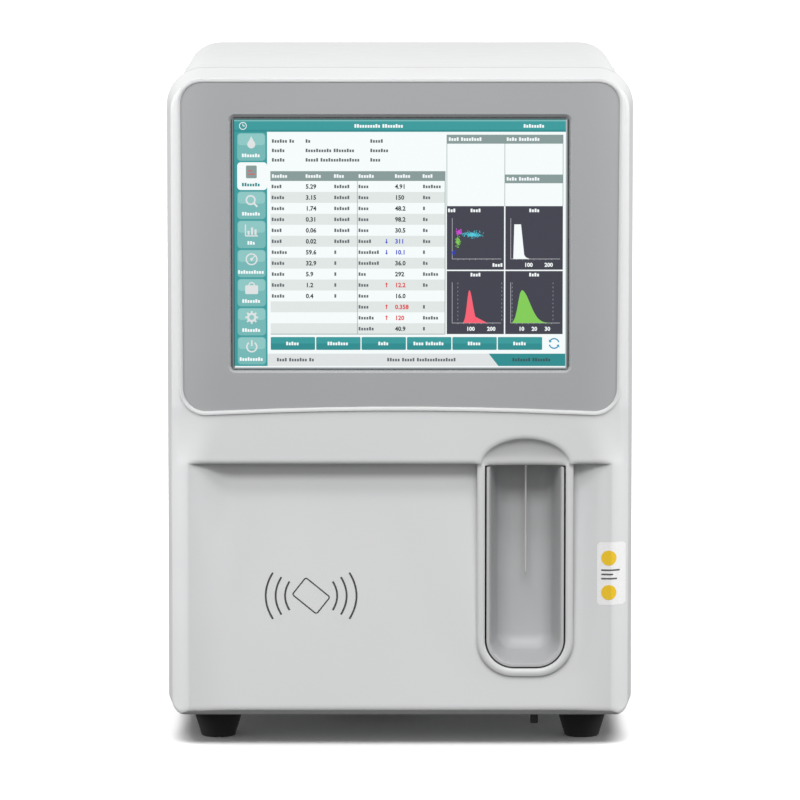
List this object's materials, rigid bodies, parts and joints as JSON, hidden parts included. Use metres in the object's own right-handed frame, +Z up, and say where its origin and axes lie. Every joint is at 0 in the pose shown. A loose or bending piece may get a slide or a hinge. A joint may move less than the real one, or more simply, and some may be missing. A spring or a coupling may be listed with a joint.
{
  "type": "hematology analyzer",
  "caption": "Bench hematology analyzer with a touch screen, hooded sample niche, hanging sample probe, concave start key and side service door.",
  "frame": {"origin": "centre of the footprint, on the table surface under the feet", "axes": "+X to the user's right, -Y towards the user, +Z up"},
  "size_m": [0.35, 0.435, 0.505],
  "materials": {
    "white_shell": "satin moulded plastic",
    "grey_bezel": "fine matte moulded plastic",
    "screen_glass": "glossy touch panel over a lit display",
    "key_plastic": "satin moulded plastic",
    "needle_steel": "polished stainless steel",
    "white_sheet": "fine powder coat",
    "plated_steel": "zinc plated sheet",
    "machined_metal": "machined",
    "motor_black": "black lacquer",
    "foot_rubber": "matte rubber",
    "black_plastic": "matte moulded plastic",
    "clear_plastic": "clear moulded",
    "white_ceramic": "lapped ceramic",
    "valve_plastic": "natural polymer",
    "board_green": "coated circuit board",
    "lcd_metal": "pressed steel frame",
    "spring_steel": "drawn wire",
    "magnet_nickel": "nickel plated",
    "brass_fitting": "turned brass"
  },
  "bodies": {
    "housing": {"front_cover": "white_shell", "display_bezel": "grey_bezel", "touch_glass": "screen_glass", "lcd_module": "lcd_metal", "card_reader_board": "board_green", "key_guide_frame": "black_plastic", "key_springs": "spring_steel", "key_switch": "black_plastic", "base_plate": "plated_steel", "cover_lock_screw": "black_plastic", "rear_panel": "white_sheet", "partition_plate": "plated_steel", "upper_shelf": "plated_steel", "top_cover": "white_sheet", "left_panel": "white_sheet", "hinge_pins": "plated_steel", "door_magnets": "magnet_nickel", "foot_front_left": "foot_rubber", "foot_front_right": "foot_rubber", "foot_rear_left": "foot_rubber", "foot_rear_right": "foot_rubber", "lift_frame": "machined_metal", "lift_rods": "needle_steel", "lift_motor": "motor_black", "probe_rinse_cup": "valve_plastic", "valve_motor": "motor_black", "valve_stator": "white_ceramic", "bath_bracket": "plated_steel", "counting_baths": "clear_plastic", "syringe_frame": "machined_metal", "syringe_barrels": "clear_plastic", "syringe_motor": "motor_black", "valve_manifold": "valve_plastic", "solenoid_valves": "black_plastic", "vacuum_pump": "motor_black", "waste_pump": "black_plastic", "vacuum_chamber": "clear_plastic", "power_supply": "plated_steel", "main_board": "board_green", "drive_board": "board_green", "optical_base": "machined_metal", "laser_module": "machined_metal", "flow_cell": "machined_metal", "scatter_detector": "motor_black", "fan_frame": "black_plastic", "fan_guard": "plated_steel", "power_inlet": "black_plastic", "data_ports": "lcd_metal", "reagent_ports": "valve_plastic"},
    "key": {"aspirate_key": "key_plastic"},
    "lift": {"probe_carriage": "machined_metal", "sample_probe": "needle_steel"},
    "lift_screw": {"lift_screw": "plated_steel"},
    "valve_rotor": {"valve_rotor": "white_ceramic"},
    "syringe": {"syringe_crosshead": "machined_metal", "syringe_plungers": "white_ceramic"},
    "syringe_screw": {"syringe_screw": "plated_steel"},
    "fan": {"fan_rotor": "black_plastic"},
    "door": {"side_door": "white_sheet"},
    "rocker": {"power_switch": "black_plastic"}
  },
  "joints": [
    {"name": "aspirate_key_press", "type": "slide", "parent": "housing", "child": "key", "axis": [0, 1, 0], "range_m": [0, 0.0025], "stiffness_N_per_m": 500, "springref_m": -0.002, "deforming": ["key_springs"]},
    {"name": "probe_lift", "type": "slide", "parent": "housing", "child": "lift", "axis": [0, 0, 1], "range_m": [0, 0.085]},
    {"name": "lift_screw_spin", "type": "hinge", "parent": "housing", "child": "lift_screw", "pos_m": [0.0945, -0.14, 0.3], "axis": [0, 0, 1], "range_deg": [-3826, 0]},
    {"name": "syringe_stroke", "type": "slide", "parent": "housing", "child": "syringe", "axis": [0, 0, 1], "range_m": [0, 0.04]},
    {"name": "syringe_screw_spin", "type": "hinge", "parent": "housing", "child": "syringe_screw", "pos_m": [0.095, 0.1, 0.25], "axis": [0, 0, 1], "range_deg": [-1801, 0]},
    {"name": "shear_valve_turn", "type": "hinge", "parent": "housing", "child": "valve_rotor", "pos_m": [0.084, -0.06, 0.32], "axis": [1, 0, 0], "range_deg": [0, 36]},
    {"name": "fan_spin", "type": "hinge", "parent": "housing", "child": "fan", "pos_m": [-0.09, 0.185, 0.39], "axis": [0, 1, 0], "continuous": true},
    {"name": "side_door_swing", "type": "hinge", "parent": "housing", "child": "door", "pos_m": [0.1725, 0.1975, 0.245], "axis": [0, 0, 1], "range_deg": [0, 110]},
    {"name": "power_switch_rock", "type": "hinge", "parent": "housing", "child": "rocker", "pos_m": [-0.093, 0.198, 0.1], "axis": [1, 0, 0], "range_deg": [0, 16]}
  ],
  "couplings": [
    {"joint": "lift_screw_spin", "follows": "probe_lift", "rad_per_m": -785.4},
    {"joint": "syringe_screw_spin", "follows": "syringe_stroke", "rad_per_m": -785.4}
  ]
}
